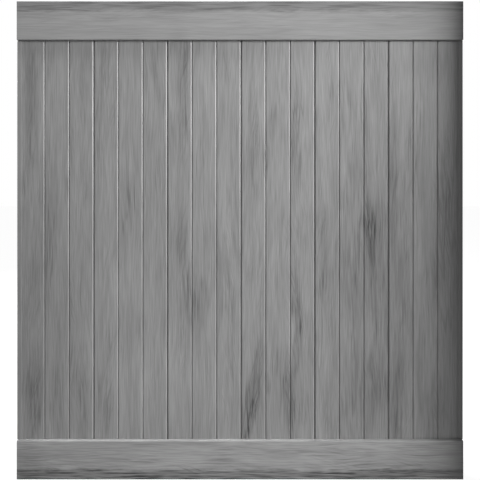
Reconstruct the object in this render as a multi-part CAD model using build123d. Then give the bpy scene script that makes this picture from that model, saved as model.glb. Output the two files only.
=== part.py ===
from build123d import *
import os

# A privacy fence panel of hollow rigid-vinyl extrusions, as it goes between two posts.
# Six wide tongue-and-groove boards stand in the pockets of a bottom and a top rail, and a
# channel at each side takes the first and the last board's edge. A folded steel strip lies
# inside the bottom rail, so that the boards' weight doesn't bow it.
#
# Frame: millimetres. The origin is the middle of the panel's underside. +X runs along the
# panel, to the right as seen from the front, the front faces -Y, and +Z is up.

# The whole panel
PANEL_WIDTH = 1714.0
PANEL_HEIGHT = 1829.0

# Rail: one extrusion, used pocket up at the bottom and pocket down at the top. It ends short of
# the panel's sides, to leave room for the base of a bracket on the post.
RAIL_DEPTH = 50.8
RAIL_HEIGHT = 148.5
RAIL_END_SETBACK = 4.0
RAIL_CORNER = 3.0
RAIL_SKIN = 2.3
RAIL_WEB = 1.8
RAIL_RIB_CENTRE = 62.0
POCKET_WIDTH = 23.4
POCKET_DEPTH = 25.4

# Board: a hollow profile with a tongue on its left edge and a groove in its right edge
BOARD_COUNT = 6
PLANKS_PER_BOARD = 3
BOARD_PITCH = 283.7
BOARD_THICKNESS = 22.2
BOARD_SKIN = 1.3
BOARD_RIB = 1.1
JOINT_SLIT = 1.6
TOP_EXPANSION = 4.0

TONGUE_LENGTH = 7.5
TONGUE_THICKNESS = 8.6
TONGUE_LEAD = 1.0
GROOVE_WIDTH = 9.4
GROOVE_DEPTH = 8.0

# V-shaped lines down both faces: between the planks of one board, and where two boards meet
PLANK_V_HALF_WIDTH = 3.8
PLANK_V_DEPTH = 2.8
JOINT_V_HALF_WIDTH = 4.2
JOINT_V_DEPTH = 3.4
FACE_EDGE_RADIUS = 1.0
V_ROOT_RADIUS = 0.6

# Edge channel: a U section with bevelled lips, and screw holes through its web
CHANNEL_WALL = 1.8
CHANNEL_FLANGE = 18.0
CHANNEL_PLAY = 0.5
CHANNEL_CORNER = 1.5
CHANNEL_INNER_CORNER = 0.5
LIP_BEVEL = 4.0
LIP_EDGE = 0.9
TONGUE_SIDE_PLAY = 0.8
SCREW_HOLE_RADIUS = 2.5
SCREW_HOLE_OFFSETS = (222.0, 668.0)

# Stiffener: folded steel strip, open side down, on the floor of the bottom rail
STIFFENER_SHEET = 1.2
STIFFENER_SIDE_PLAY = 0.6
STIFFENER_TOP_PLAY = 0.8
STIFFENER_LIP = 12.0
STIFFENER_BEND = 2.4
STIFFENER_SETBACK = 8.0

# Weep holes that drain the bottom rail, staggered from one wall to the next
WEEP_RADIUS = 4.0
WEEP_SPACING = 420.0
WEEP_COUNT = 4
WEEP_STAGGER = 60.0

# Places that follow from the sizes above
clear_height = PANEL_HEIGHT - 2 * RAIL_HEIGHT
pocket_floor = RAIL_HEIGHT - POCKET_DEPTH
rail_length = PANEL_WIDTH - 2 * RAIL_END_SETBACK
rail_inner_depth = RAIL_DEPTH - 2 * RAIL_SKIN
rail_inner_corner = RAIL_CORNER - RAIL_SKIN
board_body = BOARD_PITCH - JOINT_SLIT
board_length = clear_height + 2 * POCKET_DEPTH - TOP_EXPANSION
half_thickness = BOARD_THICKNESS / 2
first_board_edge = -PANEL_WIDTH / 2 + CHANNEL_WALL + TONGUE_SIDE_PLAY + TONGUE_LENGTH
plank_pitch = BOARD_PITCH / PLANKS_PER_BOARD
plank_lines = [k * plank_pitch - JOINT_SLIT / 2 for k in range(1, PLANKS_PER_BOARD)]


def board_outline():
    """The board's section from tongue to groove, with sharp corners, its middle plane on Y 0."""
    shoulder = half_thickness - JOINT_V_DEPTH
    front = [
        (-TONGUE_LENGTH, 0),
        (-TONGUE_LENGTH, TONGUE_THICKNESS / 2 - TONGUE_LEAD),
        (-TONGUE_LENGTH + TONGUE_LEAD, TONGUE_THICKNESS / 2),
        (0, TONGUE_THICKNESS / 2),
        (0, shoulder),
        (JOINT_V_HALF_WIDTH, half_thickness),
    ]
    for line in plank_lines:
        front += [
            (line - PLANK_V_HALF_WIDTH, half_thickness),
            (line, half_thickness - PLANK_V_DEPTH),
            (line + PLANK_V_HALF_WIDTH, half_thickness),
        ]
    front += [
        (board_body - JOINT_V_HALF_WIDTH, half_thickness),
        (board_body, shoulder),
        (board_body, GROOVE_WIDTH / 2),
        (board_body - GROOVE_DEPTH, GROOVE_WIDTH / 2),
        (board_body - GROOVE_DEPTH, 0),
    ]
    half = make_face(Polyline(*front, close=True))
    return half + mirror(half, about=Plane.XZ)


def board_ribs():
    """Ribs across the hollow board: one behind each line, and one in the middle of each plank."""
    middles = [(k + 0.5) * plank_pitch for k in range(PLANKS_PER_BOARD)]
    return [Pos(x, 0) * Rectangle(BOARD_RIB, BOARD_THICKNESS) for x in plank_lines + middles]


def corners_at(section, height):
    """The corners that lie at this height above or below the section's middle plane."""
    return section.vertices().filter_by(lambda corner: abs(abs(corner.Y) - height) < 0.01)


def board_section():
    """The hollow section: the rounded outline less the cells between the ribs."""
    outline = board_outline()
    cells = offset(outline, amount=-BOARD_SKIN, kind=Kind.INTERSECTION) - board_ribs()
    outline = fillet(corners_at(outline, half_thickness), FACE_EDGE_RADIUS)
    outline = fillet(corners_at(outline, half_thickness - PLANK_V_DEPTH), V_ROOT_RADIUS)
    return outline - cells


def board(number):
    """One board in its place, standing on the floor of the bottom rail's pocket."""
    left = first_board_edge + number * BOARD_PITCH
    return Pos(left, 0, pocket_floor) * extrude(board_section(), board_length)


def rail_section():
    """The rail's section with its underside on 0 and its pocket open upwards."""
    def chamber(low, high, width, across=0.0):
        return Pos(across, (low + high) / 2) * RectangleRounded(width, high - low, rail_inner_corner)

    rib_low, rib_high = RAIL_RIB_CENTRE - RAIL_WEB / 2, RAIL_RIB_CENTRE + RAIL_WEB / 2
    side_inner = POCKET_WIDTH / 2 + RAIL_WEB
    side_width = rail_inner_depth / 2 - side_inner
    section = Pos(0, RAIL_HEIGHT / 2) * RectangleRounded(RAIL_DEPTH, RAIL_HEIGHT, RAIL_CORNER)
    section -= Pos(0, RAIL_HEIGHT) * Rectangle(POCKET_WIDTH, 2 * POCKET_DEPTH)
    section -= chamber(RAIL_SKIN, rib_low, rail_inner_depth)
    section -= chamber(rib_high, pocket_floor - RAIL_WEB, rail_inner_depth)
    for side in (-1, 1):
        section -= chamber(pocket_floor, RAIL_HEIGHT - RAIL_SKIN, side_width,
                           side * (side_inner + side_width / 2))
    return section


def rail():
    """The rail as cut to length, lying along X with its pocket upwards."""
    along_x = Plane(origin=(-rail_length / 2, 0, 0), x_dir=(0, 1, 0), z_dir=(1, 0, 0))
    return extrude(along_x * rail_section(), rail_length)


def weep_holes():
    """Drills through the pocket's floor, the rib and the underside, each row set over from the last."""
    drills = []
    levels = (pocket_floor - RAIL_WEB / 2, RAIL_RIB_CENTRE, RAIL_SKIN / 2)
    for row, level in enumerate(levels):
        for k in range(WEEP_COUNT):
            x = (k - (WEEP_COUNT - 1) / 2) * WEEP_SPACING + row * WEEP_STAGGER
            drills.append(Pos(x, 0, level) * Cylinder(WEEP_RADIUS, 2 * RAIL_SKIN))
    return drills


def bottom_rail():
    return rail() - weep_holes()


def top_rail():
    """The same rail turned over, at the top of the panel."""
    return Pos(0, 0, PANEL_HEIGHT) * Rot(180, 0, 0) * rail()


def stiffener():
    """Steel strip folded to a C on its back: a web above, two legs and two lips turned inwards."""
    width = rail_inner_depth - 2 * STIFFENER_SIDE_PLAY
    height = RAIL_RIB_CENTRE - RAIL_WEB / 2 - RAIL_SKIN - STIFFENER_TOP_PLAY
    section = RectangleRounded(width, height, STIFFENER_BEND)
    section -= RectangleRounded(width - 2 * STIFFENER_SHEET, height - 2 * STIFFENER_SHEET,
                                STIFFENER_BEND - STIFFENER_SHEET)
    section -= Pos(0, -height / 2) * Rectangle(width - 2 * STIFFENER_LIP, 4 * STIFFENER_SHEET)
    length = rail_length - 2 * STIFFENER_SETBACK
    along_x = Plane(origin=(-length / 2, 0, RAIL_SKIN + height / 2), x_dir=(0, 1, 0), z_dir=(1, 0, 0))
    return extrude(along_x * section, length)


def channel_section():
    """The U section, its web's outer face on X 0 and its bevelled lips towards +X."""
    inner = BOARD_THICKNESS / 2 + CHANNEL_PLAY
    outer = inner + CHANNEL_WALL
    half = make_face(Polyline(
        (0, 0),
        (0, outer),
        (CHANNEL_FLANGE - LIP_BEVEL, outer),
        (CHANNEL_FLANGE, inner + LIP_EDGE),
        (CHANNEL_FLANGE, inner),
        (CHANNEL_WALL, inner),
        (CHANNEL_WALL, 0),
        close=True,
    ))
    section = half + mirror(half, about=Plane.XZ)
    section = fillet(section.vertices().group_by(Axis.X)[0], CHANNEL_CORNER)
    inside = section.vertices().filter_by(lambda corner: abs(corner.X - CHANNEL_WALL) < 0.01)
    return fillet(inside, CHANNEL_INNER_CORNER)


def channel():
    """The left edge channel, standing on Z 0, with a row of screw holes down its web."""
    body = extrude(channel_section(), clear_height)
    levels = [clear_height / 2 + side * away for away in SCREW_HOLE_OFFSETS for side in (-1, 1)]
    for level in levels:
        body -= Pos(0, 0, level) * Rot(0, 90, 0) * Cylinder(SCREW_HOLE_RADIUS, 4 * CHANNEL_WALL)
    return body


def left_edge_channel():
    return Pos(-PANEL_WIDTH / 2, 0, RAIL_HEIGHT) * channel()


def right_edge_channel():
    return Pos(PANEL_WIDTH / 2, 0, RAIL_HEIGHT) * Rot(0, 0, 180) * channel()


pieces = {
    "top_rail": top_rail(),
    "bottom_rail": bottom_rail(),
    "bottom_rail_stiffener": stiffener(),
    "left_edge_channel": left_edge_channel(),
    "right_edge_channel": right_edge_channel(),
}
for n in range(BOARD_COUNT):
    pieces[f"board_{n + 1}"] = board(n)

os.makedirs("parts", exist_ok=True)
for name, piece in pieces.items():
    export_step(piece, f"parts/{name}.step")
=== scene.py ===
# %% [markdown]
# A privacy fence panel in grey vinyl, dressed for its picture
#
# The panel is all extrusions: long hollow profiles of rigid vinyl, cut to length and slid into
# each other. Their shapes come ready made in the frame, so what is left for Blender is what a
# profile drawing can't hold: the wood grain that a roller presses into the warm vinyl, the
# streaks of darker pigment that follow it, the spangle on the zinc-coated steel, and the light.
# We load the frame first.

# %% Load the frame
import math
import bpy
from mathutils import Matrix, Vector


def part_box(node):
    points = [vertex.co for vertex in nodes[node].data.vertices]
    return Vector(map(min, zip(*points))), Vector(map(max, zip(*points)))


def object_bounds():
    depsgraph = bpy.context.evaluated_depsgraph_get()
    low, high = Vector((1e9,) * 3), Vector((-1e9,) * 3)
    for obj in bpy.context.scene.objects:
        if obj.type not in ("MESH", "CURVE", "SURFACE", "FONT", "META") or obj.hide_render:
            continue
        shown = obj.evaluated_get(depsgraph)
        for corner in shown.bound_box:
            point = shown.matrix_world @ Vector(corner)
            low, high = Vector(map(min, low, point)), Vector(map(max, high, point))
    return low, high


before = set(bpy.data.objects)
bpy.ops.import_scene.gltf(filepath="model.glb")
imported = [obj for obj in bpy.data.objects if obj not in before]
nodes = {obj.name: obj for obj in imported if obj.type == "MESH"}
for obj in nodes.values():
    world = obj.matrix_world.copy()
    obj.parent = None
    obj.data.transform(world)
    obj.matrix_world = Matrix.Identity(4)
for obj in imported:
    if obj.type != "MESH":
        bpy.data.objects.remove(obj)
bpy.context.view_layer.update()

print("pieces in the frame:", ", ".join(sorted(nodes)))

# %% [markdown]
# Where things are
#
# Every pattern below is laid out from the real pieces, so we ask the frame where they are: the
# panel's height, the rails' height, and how far it is from one board to the next.

# %% Measure the pieces that the patterns follow
MM = 0.001

rail_low, rail_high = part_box("bottom_rail")
panel_low, panel_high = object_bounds()
rail_height = rail_high[2] - rail_low[2]
panel_height = panel_high[2] - panel_low[2]
panel_width = panel_high[0] - panel_low[0]
rail_front = rail_low[1]
rail_half_depth = rail_high[1]
channel_half_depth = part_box("left_edge_channel")[1][1]
board_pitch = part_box("board_2")[0][0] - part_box("board_1")[0][0]
first_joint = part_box("board_1")[1][0] - board_pitch
print(f"panel {panel_width:.3f} by {panel_height:.3f} m, boards every {board_pitch:.4f} m")

# %% [markdown]
# The camera
#
# The panel is seen straight on. Two thin strips say how near the camera stands: the ledge on
# top of the bottom rail and the shaded underside of the top rail, about two pixels each, which a
# camera a little under 2 m away and a little above the middle would see. It looks level, so that
# the boards stay parallel, and a small shift takes the panel back to the middle of the picture.

# %% Set up the camera
PICTURE_PIXELS = 480
TOP_EDGE_PIXEL = 1.4      # the panel's top and foot in the picture, counted from the picture's top
BOTTOM_EDGE_PIXEL = 479.4
CAMERA_DISTANCE = 1.8     # metres in front of the rails' face
CAMERA_HEIGHT = 1.17      # metres above the ground
SENSOR_WIDTH = 36.0
EDGE_DEPTH = 3 * MM       # the rails' corners are rounded, so the outline lies behind their face

edge_scale = 1 + EDGE_DEPTH / CAMERA_DISTANCE
pixels_per_metre = (BOTTOM_EDGE_PIXEL - TOP_EDGE_PIXEL) * edge_scale / panel_height
picture_height = PICTURE_PIXELS / pixels_per_metre
middle_pixel = (BOTTOM_EDGE_PIXEL + TOP_EDGE_PIXEL) / 2
aim_height = panel_height / 2 + (middle_pixel - PICTURE_PIXELS / 2) / pixels_per_metre

camera_data = bpy.data.cameras.new("camera")
camera_data.sensor_width = SENSOR_WIDTH
camera_data.lens = CAMERA_DISTANCE / picture_height * SENSOR_WIDTH
camera_data.shift_y = (aim_height - CAMERA_HEIGHT) / picture_height
camera = bpy.data.objects.new("camera", camera_data)
camera.location = (0, rail_front - CAMERA_DISTANCE, CAMERA_HEIGHT)
camera.rotation_euler = (math.radians(90), 0, 0)
bpy.context.scene.collection.objects.link(camera)
bpy.context.scene.camera = camera
print(f"lens {camera_data.lens:.1f} mm, shift {camera_data.shift_y:.3f}")

# %% [markdown]
# A helper for materials
#
# A node material is a small wiring diagram. One function puts a node in the diagram: it sets
# the node's own options, types numbers into its sockets, and draws a wire wherever it is given
# another node's output instead of a number. Colours are written as the hex values that a paint
# chart gives, and turned into the linear light values that the renderer counts in.

# %% Make the helpers for nodes and colours
def add(tree, kind, inputs=None, **options):
    """Adds a node, sets its options, and fills or wires its sockets by name or number."""
    node = tree.nodes.new(kind)
    for option, value in options.items():
        setattr(node, option, value)
    for socket, value in (inputs or {}).items():
        if isinstance(value, bpy.types.NodeSocket):
            tree.links.new(value, node.inputs[socket])
        else:
            node.inputs[socket].default_value = value
    return node


def linear(hex_colour):
    """Turns an sRGB hex colour such as "#8c8c8c" into linear red, green, blue and alpha."""
    channels = [int(hex_colour[k:k + 2], 16) / 255 for k in (1, 3, 5)]
    light = [c / 12.92 if c <= 0.04045 else ((c + 0.055) / 1.055) ** 2.4 for c in channels]
    return (*light, 1.0)


def new_material(name):
    """Makes a material and returns it with its empty wiring diagram."""
    material = bpy.data.materials.new(name)
    material.use_nodes = True
    material.node_tree.nodes.clear()
    return material, material.node_tree


print("sRGB #808080 is", round(linear("#808080")[0], 3), "in linear light")

# %% [markdown]
# The pressed wood grain
#
# On the real panel a steel roller, cut with the figure of a flat-sawn plank, presses the grain
# into the vinyl as it leaves the die. Look closely and there are three things in it: fine
# fibres everywhere, longer dark strokes that come in clusters, and tall arches, one inside the
# other, where the saw cut the tree's growth rings at a slant. All of them are long and thin, so
# all of them can be the same thing: noise that is stretched along the grain. We divide the two
# directions by a real width and a real length in millimetres, and the noise's lumps take that
# size. The third direction is free, and serves as a seed.

# %% Stretch noise along the grain
NOISE_ROUGHNESS = 0.6     # how strong the finer lumps are beside the coarser ones


def stretched_noise(tree, x, y, seed, size, detail):
    """Smooth noise between 0 and 1 whose lumps have this size along x and y."""
    across = add(tree, "ShaderNodeMath", {0: x, 1: size[0]}, operation="DIVIDE")
    along = add(tree, "ShaderNodeMath", {0: y, 1: size[1]}, operation="DIVIDE")
    place = add(tree, "ShaderNodeCombineXYZ", {0: across.outputs[0], 1: along.outputs[0], 2: seed})
    lumps = add(tree, "ShaderNodeTexNoise", {
        "Vector": place.outputs[0], "Scale": 1.0, "Detail": detail, "Roughness": NOISE_ROUGHNESS})
    return lumps.outputs[0]


print("noise roughness", NOISE_ROUGHNESS)

# %% [markdown]
# Fibres, strokes and arches
#
# Five figures come out of one node group, so that boards and rails share it. Fibres and clouds
# are plain noise. Strokes and clusters are noise that only counts where it is high, which leaves
# separate marks. For the arches we first make a smooth "ring height", which grows up the board
# and with the square of the distance from its middle: every line of equal height is then an
# arch, and noise that is laid along that height turns into arches by itself. Every layer of
# noise is taken some way off from the next one, so that no two of them look alike.

# %% Build the grain as a node group
# The width and the length of each figure's marks on the board, in millimetres
FIBRE_SIZE = (4.0, 105.0)      # real fibres are 1 mm or finer: drawn coarser, as a pixel is 4 mm
STROKE_SIZE = (6.5, 150.0)
CLUSTER_SIZE = (48.0, 260.0)
CLOUD_SIZE = (40.0, 420.0)
ARCH_SIZE = (26.0, 260.0)      # one ring to the next up the middle, and how long a ring stays dark
BEND_SIZE = (90.0, 320.0)

BEND = 10.0                    # no fibre is quite straight: this is how far it bends to the side
ARCH_DROP = 560.0              # an arch's legs end this much below its top, at the board's edges
LEG_START, LEG_FULL = 0.15, 0.45     # only an arch's legs show: its top is too faint to see
ARCH_SHARE = 0.7               # the arches are fainter than the strokes
STROKE_FAINT, STROKE_FULL = 0.44, 0.66    # the noise that a mark begins at, and is darkest at
ARCH_FAINT, ARCH_FULL = 0.48, 0.66


def build_grain_group():
    """Takes millimetres across and along the grain and a seed, and gives five sorts of figure."""
    group = bpy.data.node_groups.new("pressed_wood_grain", "ShaderNodeTree")
    for name in ("Across", "Along", "Half width", "Seed"):
        group.interface.new_socket(name, in_out="INPUT", socket_type="NodeSocketFloat")
    for name in ("Fibres", "Strokes", "Clusters", "Arches", "Clouds"):
        group.interface.new_socket(name, in_out="OUTPUT", socket_type="NodeSocketFloat")
    source = add(group, "NodeGroupInput").outputs
    along = source["Along"]

    def figure(across, size, layer, detail):
        """One sort of figure, from its own layer of the noise."""
        seed = add(group, "ShaderNodeMath", {0: source["Seed"], 1: layer}, operation="ADD")
        return stretched_noise(group, across, along, seed.outputs[0], size, detail)

    def marks(value, faint, full, top=1.0):
        """Rises smoothly from 0 at faint to its top at full."""
        return add(group, "ShaderNodeMapRange", {
            "Value": value, "From Min": faint, "From Max": full, "To Max": top,
        }, interpolation_type="SMOOTHSTEP").outputs[0]

    sway = figure(source["Across"], BEND_SIZE, layer=20.0, detail=1.0)
    bent = add(group, "ShaderNodeMath", {0: sway, 1: 2 * BEND, 2: source["Across"]},
               operation="MULTIPLY_ADD").outputs[0]

    part = add(group, "ShaderNodeMath", {0: bent, 1: source["Half width"]},
               operation="DIVIDE").outputs[0]
    square = add(group, "ShaderNodeMath", {0: part, 1: part}, operation="MULTIPLY").outputs[0]
    ring_height = add(group, "ShaderNodeMath", {0: square, 1: ARCH_DROP, 2: along},
                      operation="MULTIPLY_ADD").outputs[0]
    sideways = add(group, "ShaderNodeMath", {0: part}, operation="ABSOLUTE").outputs[0]
    rings = marks(figure(ring_height, ARCH_SIZE, layer=9.0, detail=2.0), ARCH_FAINT, ARCH_FULL)
    legs = marks(sideways, LEG_START, LEG_FULL, ARCH_SHARE)
    arches = add(group, "ShaderNodeMath", {0: rings, 1: legs}, operation="MULTIPLY").outputs[0]

    strokes = figure(bent, STROKE_SIZE, layer=3.0, detail=2.5)
    clusters = figure(bent, CLUSTER_SIZE, layer=6.0, detail=1.5)
    add(group, "NodeGroupOutput", {
        "Fibres": figure(bent, FIBRE_SIZE, layer=0.0, detail=1.5),
        "Strokes": marks(strokes, STROKE_FAINT, STROKE_FULL),
        "Clusters": marks(clusters, STROKE_FAINT, STROKE_FULL),
        "Arches": arches,
        "Clouds": figure(bent, CLOUD_SIZE, layer=12.0, detail=1.5),
    })
    return group


grain_group = build_grain_group()
print("grain group has", len(grain_group.nodes), "nodes")

# %% [markdown]
# The dark hearts
#
# In a few places the figure gathers into a dark heart, where an arch's leg runs down a plank or
# a knot lay just under the cut. These are the marks that the eye finds first, so we say where
# they are: each is a long soft ellipse on the panel's face, leaning a little as the arch leans.
# A Mapping node turns a position into "how far from this heart", and a spherical gradient fades
# it out. Added up, they only say where the strokes turn dark: the strokes themselves stay noise.

# %% Place the dark hearts
# Millimetres from the panel's middle line and above the ground, half width, half length,
# degrees of lean (positive leans right going up), and strength
HEARTS = [
    (-800, 1410, 34, 360, 0, 0.35),
    (-792, 300, 44, 230, 3, 0.50),
    (-707, 290, 40, 210, -4, 0.60),
    (-605, 290, 32, 210, 0, 0.32),
    (-510, 340, 24, 240, 0, 0.42),
    (-428, 1035, 30, 170, 4, 0.52),
    (-220, 1400, 26, 340, 0, 0.48),
    (-222, 900, 28, 210, 2, 0.55),
    (-186, 680, 32, 170, -4, 0.55),
    (-168, 580, 18, 130, 2, 0.42),
    (50, 1330, 28, 300, 0, 0.48),
    (112, 1290, 30, 150, 5, 0.45),
    (220, 1300, 32, 290, 2, 0.72),
    (216, 680, 32, 180, -7, 0.82),
    (216, 480, 24, 150, 6, 0.62),
    (58, 345, 30, 260, 7, 0.85),
    (30, 250, 28, 170, 4, 0.70),
    (106, 362, 16, 60, -4, 0.70),
    (188, 320, 30, 250, -4, 0.80),
    (322, 860, 20, 220, 0, 0.40),
    (475, 1280, 22, 300, 0, 0.36),
    (500, 950, 28, 200, -3, 0.52),
    (590, 1130, 22, 380, 0, 0.42),
    (605, 290, 36, 240, 5, 0.52),
    (752, 760, 22, 170, 0, 0.45),
    (790, 1030, 36, 380, 2, 0.42),
    (772, 250, 28, 160, 0, 0.42),
]
HEART_CORE = 0.55         # this far in from its border, a heart reaches its full strength


def ellipses(tree, place, rows, core):
    """Adds up soft ellipses, each of which has its full strength from its core inwards."""
    total = 0.0
    for across, up, half_width, half_length, lean, strength in rows:
        near = add(tree, "ShaderNodeMapping", {
            "Vector": place,
            "Location": (across * MM, 0, up * MM),
            "Rotation": (0, math.radians(lean), 0),
            "Scale": (half_width * MM, panel_height, half_length * MM),
        }, vector_type="TEXTURE")
        fade = add(tree, "ShaderNodeTexGradient", {0: near.outputs[0]}, gradient_type="SPHERICAL")
        level = add(tree, "ShaderNodeMapRange", {
            "Value": fade.outputs["Fac"], "From Max": core, "To Max": strength,
        }, interpolation_type="SMOOTHSTEP").outputs[0]
        total = add(tree, "ShaderNodeMath", {0: level, 1: total}, operation="ADD").outputs[0]
    return total


def dark_hearts(tree, place, across, along):
    """How dark the strokes are at a place on the panel. The place on the board isn't needed."""
    return ellipses(tree, place, HEARTS, HEART_CORE)


print(len(HEARTS), "dark hearts")

# %% [markdown]
# Paler and darker areas
#
# Some areas of the panel are paler and others darker. Part of this is the vinyl's own tone,
# which differs from plank to plank, and part is painted light and shade: the strip down the
# right side and the darker areas right of the middle are painted shade. Patches along the foot
# of the bottom rail are paler in places and darker in others. The eye takes most of this in as
# a slow change of grey over several planks. The areas are laid out like the hearts, but they
# fade all the way in to their middle.

# %% Place the paler and darker areas
# The same numbers as for the hearts, but the last one says how much paler the area is, or how
# much darker where it is below 0
# Partly painted light and shade: the darker areas right of the middle and the strip down the right side are
# painted shade
AREAS = [
    (-460, 740, 170, 200, 0, 0.14),
    (-300, 370, 480, 300, 0, 0.17),
    (-810, 330, 90, 270, 0, -0.20),
    (-770, 780, 150, 560, 0, -0.16),
    # painted shade down the right side
    (860, 900, 22, 2600, 0, -0.85),     # the strip down the right side
    (90, 330, 130, 220, 0, -0.10),
    (500, 340, 230, 260, 0, -0.16),
    (480, 840, 200, 330, 0, -0.12),
    (560, 900, 400, 1150, 0, -0.28),
    (-830, 60, 120, 130, 0, -0.25),
    (-240, 1560, 60, 360, 0, -0.08),
    (-60, 900, 60, 700, 0, 0.08),
    (-815, 1440, 60, 200, 0, -0.12),
    (700, 1600, 200, 120, 0, -0.14),
    (785, 1600, 40, 110, 0, -0.16),
    (-640, 330, 60, 200, 0, -0.12),
    (200, 270, 130, 130, 0, -0.10),
    (760, 270, 130, 180, 0, -0.16),
    (-640, 36, 90, 34, 0, 0.14),        # from here on, patches along the foot of the bottom rail
    (-110, 36, 170, 34, 0, 0.18),
    (285, 36, 80, 40, 0, -0.24),
    (590, 36, 200, 34, 0, -0.10),
]


def drift_and_painted_light(tree, place):
    """How much paler or darker the vinyl is at a place on the panel: partly its own tone,
    partly painted light and shade.
    """
    return ellipses(tree, place, AREAS, 1.0)


print(len(AREAS), "paler and darker areas")

# %% [markdown]
# A place on a board
#
# The grain group wants millimetres from a board's middle line and up the board. A node material
# only knows where a point is on the panel, so we count boards: the distance from the first joint,
# divided by the boards' pitch and rounded down, is the board's number. Each board was cut from
# another stretch of the roller's long pattern, so the number also moves the pattern along and
# changes its seed. The channels at the sides carry the pattern on round their outer edge: there
# the depth counts as more width, or else the grain would turn into bars across that narrow side.

# %% Find a place on a board or a channel
BOARD_STRETCH = 1370.0    # millimetres of pattern from one board's foot to the next one's
BOARD_SEED = 3.71         # from one board's seed to the next one's


def sum_of(tree, *terms):
    """Adds up terms, each a pair of a value and what to multiply it with."""
    total = 0.0
    for value, factor in terms:
        total = add(tree, "ShaderNodeMath", {0: value, 1: factor, 2: total},
                    operation="MULTIPLY_ADD").outputs[0]
    return total


def inwards(tree, axes, half_depth):
    """Millimetres in from the front or the back face."""
    off = add(tree, "ShaderNodeMath", {0: axes.outputs["Y"]}, operation="ABSOLUTE").outputs[0]
    return sum_of(tree, (off, -1 / MM), (half_depth / MM, 1.0))


def board_place(tree, axes):
    """Millimetres from the board's middle line and up the board, and a seed for each board."""
    steps = sum_of(tree, (axes.outputs["X"], 1 / board_pitch), (-first_joint / board_pitch, 1.0))
    number = add(tree, "ShaderNodeMath", {0: steps}, operation="FLOOR").outputs[0]
    across = sum_of(tree, (axes.outputs["X"], 1 / MM), (number, -board_pitch / MM),
                    (-(first_joint + board_pitch / 2) / MM, 1.0))
    along = sum_of(tree, (axes.outputs["Z"], 1 / MM), (number, BOARD_STRETCH))
    return across, along, sum_of(tree, (number, BOARD_SEED))


def channel_place(tree, axes):
    """The same as on a board, carried on round the channel's outer side."""
    across, along, seed = board_place(tree, axes)
    depth = inwards(tree, axes, channel_half_depth)
    return sum_of(tree, (across, 1.0), (depth, -1.0)), along, seed


print(f"pattern moves {BOARD_STRETCH} mm from one board to the next")

# %% [markdown]
# A place on a rail
#
# A rail lies down, so the grain's two directions change places. Both rails are the same
# extrusion and one of them is turned over, so we measure inwards from the outer edge of each: the
# distance from the panel's half height does that for both at once. The top of a rail is carried
# on from its faces as the channels are.

# %% Find a place on a rail
RAIL_SEED = 5.3           # from the bottom rail's seed to the top rail's


def rail_place(tree, axes):
    """Millimetres in from the rail's outer edge and along it, and a seed for each rail."""
    away = sum_of(tree, (axes.outputs["Z"], 1.0), (-panel_height / 2, 1.0))
    distance = add(tree, "ShaderNodeMath", {0: away}, operation="ABSOLUTE").outputs[0]
    across = sum_of(tree, (distance, -1 / MM), (panel_height / 2 / MM, 1.0),
                    (inwards(tree, axes, rail_half_depth), -1.0))
    upper = add(tree, "ShaderNodeMath", {0: away, 1: 0.0}, operation="GREATER_THAN").outputs[0]
    along = sum_of(tree, (axes.outputs["X"], 1 / MM))
    return across, along, sum_of(tree, (upper, RAIL_SEED))


print(f"a rail is {rail_height / MM:.1f} mm high")

# %% [markdown]
# Painted shade in the lines
#
# The V-shaped lines down the boards are darkened in the root of the V with painted shade. The
# lines are evenly spaced, so one triangle wave across the panel finds them all: the PINGPONG
# operation runs from 0 up to half a step and back, and it is 0 in every line's middle.

# %% Find the lines down the boards
PLANKS_PER_BOARD = 3
SLIT = 1.6 * MM           # between two boards' faces: the lines are centred on it
LINE_REACH = 3.4          # millimetres from a line's middle that the painted shade reaches
plank_pitch = board_pitch / PLANKS_PER_BOARD


# Painted shade: a mask for the dark in the root of every V-line
def line_painted_shade(tree, axes):
    """1 in the middle of every V-shaped line down the boards, and 0 from its edges outwards."""
    steps = sum_of(tree, (axes.outputs["X"], 1 / plank_pitch),
                   (-(first_joint + SLIT / 2) / plank_pitch, 1.0))
    off = add(tree, "ShaderNodeMath", {0: steps, 1: 0.5}, operation="PINGPONG").outputs[0]
    return add(tree, "ShaderNodeMapRange", {
        "Value": off, "From Min": LINE_REACH * MM / plank_pitch, "From Max": 0.0,
    }, interpolation_type="SMOOTHSTEP").outputs[0]


print(f"a line every {plank_pitch / MM:.1f} mm")

# %% [markdown]
# Grey vinyl with the grain pressed in
#
# The material is rigid PVC, coloured through with a neutral grey and pressed with the warm
# roller, which leaves a satin skin: matt enough to hide fingerprints, with a soft sheen at a
# low angle. Darker pigment gathers in the pressed lines. So one grain drives two things, a
# slightly darker colour and a shallow dent, which the light from the side brings out. One
# function makes the material for all the pieces, and is told how much of each figure to use.

# %% Make the pressed vinyl
VINYL_IOR = 1.53          # rigid PVC
VINYL_ROUGHNESS = 0.45
PRESS_DEPTH = 0.3 * MM
STROKE_DENT = 1.5         # the strokes are pressed deeper than the fibres
FIBRE_DENT = 0.35


def centred(tree, value):
    """Turns a value between 0 and 1 into a change between -1 and 1."""
    return sum_of(tree, (value, 2.0), (-1.0, 1.0))


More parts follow.
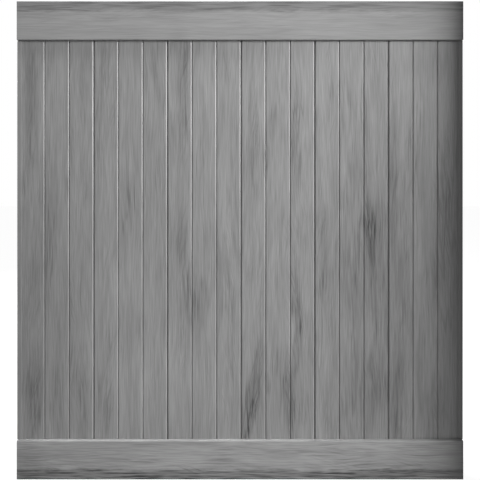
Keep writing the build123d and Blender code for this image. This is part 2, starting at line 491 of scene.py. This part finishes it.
def pressed_vinyl(name, grey, place_on, half_width, depths, gather_on=None):
    """Satin vinyl with the pressed grain. Depths say how much each sort of figure darkens it, and
    how much the painted shade in the V-lines does. gather_on says where the figure gathers, from
    the place on the panel and the place on the piece. The paler and darker areas are partly
    painted light and shade."""
    material, tree = new_material(name)
    position = add(tree, "ShaderNodeTexCoord").outputs["Object"]
    axes = add(tree, "ShaderNodeSeparateXYZ", {0: position})
    across, along, seed = place_on(tree, axes)
    figure = add(tree, "ShaderNodeGroup", {}, node_tree=grain_group)
    for socket, value in (("Across", across), ("Along", along), ("Seed", seed)):
        tree.links.new(value, figure.inputs[socket])
    figure.inputs["Half width"].default_value = half_width

    gather = gather_on(tree, position, across, along) if gather_on else 0.0
    weight = sum_of(tree, (figure.outputs["Clusters"], depths["cluster"]),
                    (gather, depths["heart"]), (depths["stroke"], 1.0))
    darkest = add(tree, "ShaderNodeMath",
                  {0: figure.outputs["Strokes"], 1: figure.outputs["Arches"]},
                  operation="MAXIMUM").outputs[0]
    strokes = add(tree, "ShaderNodeMath", {0: darkest, 1: weight}, operation="MULTIPLY").outputs[0]
    fibres = centred(tree, figure.outputs["Fibres"])
    clouds = centred(tree, figure.outputs["Clouds"])
    # The tone takes away the grain's marks and the painted shade in the V-lines, and adds the paler and
    # darker areas, which are partly painted light and shade
    tone = sum_of(tree, (strokes, -1.0), (fibres, -depths["fibre"]), (clouds, -depths["cloud"]),
                  (gather, -depths["stain_and_shade"]), (drift_and_painted_light(tree, position), 1.0),
                  (line_painted_shade(tree, axes), -depths["line"]), (1.0, 1.0))
    colour = add(tree, "ShaderNodeVectorMath", {0: linear(grey)[:3], "Scale": tone},
                 operation="SCALE")

    dent = sum_of(tree, (strokes, STROKE_DENT), (fibres, FIBRE_DENT))
    bump = add(tree, "ShaderNodeBump", {"Height": dent, "Distance": PRESS_DEPTH, "Strength": 1.0},
               invert=True)
    shader = add(tree, "ShaderNodeBsdfPrincipled", {
        "Base Color": colour.outputs[0],
        "Roughness": VINYL_ROUGHNESS,
        "IOR": VINYL_IOR,
        "Normal": bump.outputs[0],
    })
    add(tree, "ShaderNodeOutputMaterial", {"Surface": shader.outputs[0]})
    return material


print("pressed vinyl: IOR", VINYL_IOR, "and roughness", VINYL_ROUGHNESS)

# %% [markdown]
# A darker edge along the rails
#
# The rails' figure has a darker streaky band along the outer edge, which wanders in and out
# between about two and five centimetres wide. It is at the top of the top rail and at the bottom
# of the bottom rail, because one of them is turned over. On the bottom rail it is drawn stronger,
# and there it is partly painted shade along the lower edge. The band's border is noise once more,
# and a point is in the band where it lies nearer to the edge than the border does.

# %% Draw the rails' dark band
# All in millimetres
BAND_MIDDLE = 38.0        # the border's usual distance from the edge
BAND_WANDER = 55.0        # how much the noise moves it in and out
BAND_SIZE = (170.0, 45.0)      # the noise's lumps, along the rail and across it
BAND_SOFTNESS = 9.0


def rail_band(tree, place, across, along):
    """1 in the dark band along the rail's outer edge, and 0 beyond its wandering border. The
    place on the panel isn't needed."""
    border = stretched_noise(tree, along, across, 0.0, BAND_SIZE, detail=3.0)
    inside = sum_of(tree, (border, BAND_WANDER), (across, -1.0),
                    (BAND_MIDDLE - BAND_WANDER / 2, 1.0))
    return add(tree, "ShaderNodeMapRange", {
        "Value": inside, "From Min": -BAND_SOFTNESS, "From Max": BAND_SOFTNESS,
    }, interpolation_type="SMOOTHSTEP").outputs[0]


print(f"dark band about {BAND_MIDDLE} mm wide")

# %% [markdown]
# Four finishes from one recipe
#
# Boards, rails and channels are all the same plastic, but their rollers aren't equally worn and
# they don't weather alike. The bottom rail has the heaviest figure, with a dark band along its
# lower edge that is partly painted shade; the top rail is calmer, and the narrow channels show
# little more than fibres. Each number says how strong a figure is, as a share of the grey: 0.3
# takes three tenths of it away where the figure is darkest. The line number is painted shade in
# the V-lines.

# %% Make the vinyl finishes
BOARD_GREY = "#8e8e8e"
RAIL_GREY = "#909090"
BOTTOM_RAIL_GREY = "#9a9a9a"   # its figure is heavier, so it starts paler
CHANNEL_GREY = "#8a8a8a"

board_vinyl = pressed_vinyl(
    "vinyl_pressed_upright", BOARD_GREY, board_place, board_pitch / 2 / MM,
    {"fibre": 0.34, "cloud": 0.26, "stroke": 0.06, "cluster": 0.20, "heart": 0.28, "stain_and_shade": 0.20,
     "line": 0.18},
    gather_on=dark_hearts)
top_rail_vinyl = pressed_vinyl(
    "vinyl_pressed_top_rail", RAIL_GREY, rail_place, rail_height / MM,
    {"fibre": 0.21, "cloud": 0.15, "stroke": 0.04, "cluster": 0.11, "heart": 0.22, "stain_and_shade": 0.26,
     "line": 0.0},
    gather_on=rail_band)
# The bottom rail's stronger band darkens its lower edge: partly its figure, partly painted shade
bottom_rail_vinyl = pressed_vinyl(
    "vinyl_pressed_bottom_rail", BOTTOM_RAIL_GREY, rail_place, rail_height / MM,
    {"fibre": 0.44, "cloud": 0.36, "stroke": 0.08, "cluster": 0.24, "heart": 0.36, "stain_and_shade": 0.40,
     "line": 0.0},
    gather_on=rail_band)
channel_vinyl = pressed_vinyl(
    "vinyl_edge_channel", CHANNEL_GREY, channel_place, board_pitch / 2 / MM,
    {"fibre": 0.20, "cloud": 0.10, "stroke": 0.06, "cluster": 0.05, "heart": 0.0, "stain_and_shade": 0.0,
     "line": 0.0})
for finish in (board_vinyl, top_rail_vinyl, bottom_rail_vinyl, channel_vinyl):
    print(finish.name, "has", len(finish.node_tree.nodes), "nodes")

# %% [markdown]
# Zinc on steel
#
# The stiffener is a folded strip of hot-dip galvanised steel. Molten zinc freezes into flat
# crystals, a few millimetres to a centimetre across, and each one catches the light a little
# differently. A cell pattern gives every crystal its own shade and its own roughness.

# %% Make the galvanised steel
SPANGLE_SIZE = 9.0 * MM
ZINC_DARK = "#8d9194"
ZINC_LIGHT = "#b9bdbf"
ZINC_SMOOTH, ZINC_ROUGH = 0.38, 0.55


def galvanised_steel():
    """Zinc whose crystals differ in shade and roughness."""
    material, tree = new_material("steel_galvanised")
    place = add(tree, "ShaderNodeTexCoord")
    crystals = add(tree, "ShaderNodeTexVoronoi",
                   {"Vector": place.outputs["Object"], "Scale": 1 / SPANGLE_SIZE})
    shade = add(tree, "ShaderNodeSeparateColor", {0: crystals.outputs["Color"]})
    colour = add(tree, "ShaderNodeMix",
                 {"Factor": shade.outputs[0], "A": linear(ZINC_DARK), "B": linear(ZINC_LIGHT)},
                 data_type="RGBA")
    roughness = add(tree, "ShaderNodeMapRange",
                    {"Value": shade.outputs[1], "To Min": ZINC_SMOOTH, "To Max": ZINC_ROUGH})
    shader = add(tree, "ShaderNodeBsdfPrincipled", {
        "Base Color": colour.outputs["Result"],
        "Metallic": 1.0,
        "Roughness": roughness.outputs[0],
    })
    add(tree, "ShaderNodeOutputMaterial", {"Surface": shader.outputs[0]})
    return material


steel = galvanised_steel()
print(f"{steel.name}: crystals of {SPANGLE_SIZE / MM:.0f} mm")

# %% [markdown]
# Dress the pieces
#
# The pieces keep their shapes: each one only gets its finish in the slot that it already has.

# %% Give every piece its finish
finishes = {
    "board": board_vinyl,
    "top_rail": top_rail_vinyl,
    "bottom_rail": bottom_rail_vinyl,
    "bottom_rail_stiffener": steel,
    "left_edge_channel": channel_vinyl,
    "right_edge_channel": channel_vinyl,
}
for name, piece in sorted(nodes.items()):
    finish = finishes["board" if name.startswith("board_") else name]
    for slot in piece.material_slots:
        slot.material = finish
    if not piece.material_slots:
        piece.data.materials.append(finish)
    print(f"{name}: {finish.name}")

# %% [markdown]
# The floor
#
# The panel stands on a pale floor in front of nothing at all. The floor shows white, keeps a
# soft shadow, and sends little light back up, so that the top rail's underside stays dark. That
# takes two shaders added together: a dark matt one that takes the shadow, and a glow that only
# the camera and reflections see, which a Light Path node tells apart from other rays.

# %% Make the floor
FLOOR_SIZE = 30.0
FLOOR_GLOW = 0.95         # what the camera sees of it besides the light that falls on it
FLOOR_GREY = 0.15


def looked_at(tree):
    """1 for rays from the camera, straight, by a reflection or through glass, and 0 for the rest."""
    path = add(tree, "ShaderNodeLightPath")
    seen = add(tree, "ShaderNodeMath", {0: path.outputs["Is Camera Ray"], 1: path.outputs["Is Glossy Ray"]},
               operation="MAXIMUM")
    return add(tree, "ShaderNodeMath", {0: seen.outputs[0], 1: path.outputs["Is Transmission Ray"]},
               operation="MAXIMUM").outputs[0]


def sheet(name, corners, material):
    """A flat sheet through four corners."""
    mesh = bpy.data.meshes.new(name)
    mesh.from_pydata(corners, [], [(0, 1, 2, 3)])
    mesh.materials.append(material)
    flat = bpy.data.objects.new(name, mesh)
    bpy.context.scene.collection.objects.link(flat)
    return flat


def pale_floor():
    """Matt grey to the light, and nearly white to the camera."""
    material, tree = new_material("floor_pale")
    glow = add(tree, "ShaderNodeMath", {0: looked_at(tree), 1: FLOOR_GLOW}, operation="MULTIPLY")
    matt = add(tree, "ShaderNodeBsdfDiffuse", {"Color": (FLOOR_GREY, FLOOR_GREY, FLOOR_GREY, 1.0)})
    white = add(tree, "ShaderNodeEmission", {"Strength": glow.outputs[0]})
    both = add(tree, "ShaderNodeAddShader", {0: matt.outputs[0], 1: white.outputs[0]})
    add(tree, "ShaderNodeOutputMaterial", {"Surface": both.outputs[0]})
    return material


half = FLOOR_SIZE / 2
floor = sheet("floor", [(-half, -half, 0), (half, -half, 0), (half, half, 0), (-half, half, 0)],
              pale_floor())
print(f"floor {FLOOR_SIZE} m square")

# %% [markdown]
# The surroundings
#
# To the camera, and in reflections, the surroundings are plain white, which is a strength of 1.
# If they also lit the panel with that strength, every shade in the lines would fill up, so to all
# other rays they are a faint fill. The view transform is set to Standard, which shows every grey
# as it was mixed.

# %% Make the surroundings
FILL_STRENGTH = 0.17


def surroundings():
    """White to the camera, and a faint fill to the panel."""
    world = bpy.data.worlds.new("surroundings")
    world.use_nodes = True
    tree = world.node_tree
    tree.nodes.clear()
    strength = add(tree, "ShaderNodeMapRange",
                   {"Value": looked_at(tree), "To Min": FILL_STRENGTH, "To Max": 1.0})
    sky = add(tree, "ShaderNodeBackground", {"Color": (1, 1, 1, 1), "Strength": strength.outputs[0]})
    add(tree, "ShaderNodeOutputWorld", {"Surface": sky.outputs[0]})
    return world


bpy.context.scene.world = surroundings()
bpy.context.scene.view_settings.view_transform = "Standard"
print("fill strength", FILL_STRENGTH)

# %% [markdown]
# The lights
#
# The main light is a large soft one, far round to the right, because that is what makes each
# V-line show: its left side faces the light and turns bright, and its right side lies in shade.
# A narrow beam from overhead brightens the ledge on top of the bottom rail. The third light only
# serves the back, for whoever walks round the panel.

# %% Hang the lights
def soft_light(name, place, towards, width, height, watts, spread=180):
    """A rectangle of light, turned to face a point. Spread is its beam's angle in degrees."""
    data = bpy.data.lights.new(name, "AREA")
    data.shape = "RECTANGLE"
    data.size = width
    data.size_y = height
    data.energy = watts
    data.spread = math.radians(spread)
    light = bpy.data.objects.new(name, data)
    light.location = place
    away = [a - b for a, b in zip(place, towards)]
    level = math.hypot(away[0], away[1])
    light.rotation_euler = (math.atan2(level, away[2]), 0, math.atan2(away[0], -away[1]))
    bpy.context.scene.collection.objects.link(light)
    print(f"{name}: {watts} W, {width} by {height} m")


soft_light("key_light", place=(3.39, -2.12, 2.2), towards=(0, 0, 1.0),
           width=2.0, height=1.5, watts=250)
soft_light("top_light", place=(-0.45, -0.25, 3.0), towards=(-0.45, 0, 0.15),
           width=1.2, height=0.3, watts=2.7, spread=36)
soft_light("back_light", place=(-2.6, 3.0, 2.4), towards=(0, 0, 1.0),
           width=1.8, height=1.4, watts=160)

# %% [markdown]
# Shade the right end
#
# The panel darkens over its last few planks on the right, as beside a wall that keeps the light
# off. A studio does that with a flag: a black card between the lamp and the subject, out of the
# picture. It stands a little beyond the end and reaches forwards, so that the lamp, being large,
# fades out behind it over a few planks instead of throwing an edge. It is higher than the panel,
# so that the shade is even from top to bottom.

# %% Put the flag beside the panel
FLAG_X = 1.02
FLAG_REACH = 0.283        # metres that it reaches forwards
FLAG_BACK = 0.02          # metres that it reaches backwards, about to the panel's back
FLAG_HEIGHT = 2.1
FLAG_BLACK = 0.02


def black_card():
    """A matt black that sends almost no light back."""
    material, tree = new_material("flag_black")
    matt = add(tree, "ShaderNodeBsdfDiffuse", {"Color": (FLAG_BLACK, FLAG_BLACK, FLAG_BLACK, 1.0)})
    add(tree, "ShaderNodeOutputMaterial", {"Surface": matt.outputs[0]})
    return material


card = sheet("flag", [(FLAG_X, -FLAG_REACH, 0), (FLAG_X, FLAG_BACK, 0),
                      (FLAG_X, FLAG_BACK, FLAG_HEIGHT), (FLAG_X, -FLAG_REACH, FLAG_HEIGHT)],
             black_card())
card.visible_camera = False
card.visible_glossy = False
print(f"flag at x {FLAG_X} m, reaching {FLAG_REACH} m forwards")
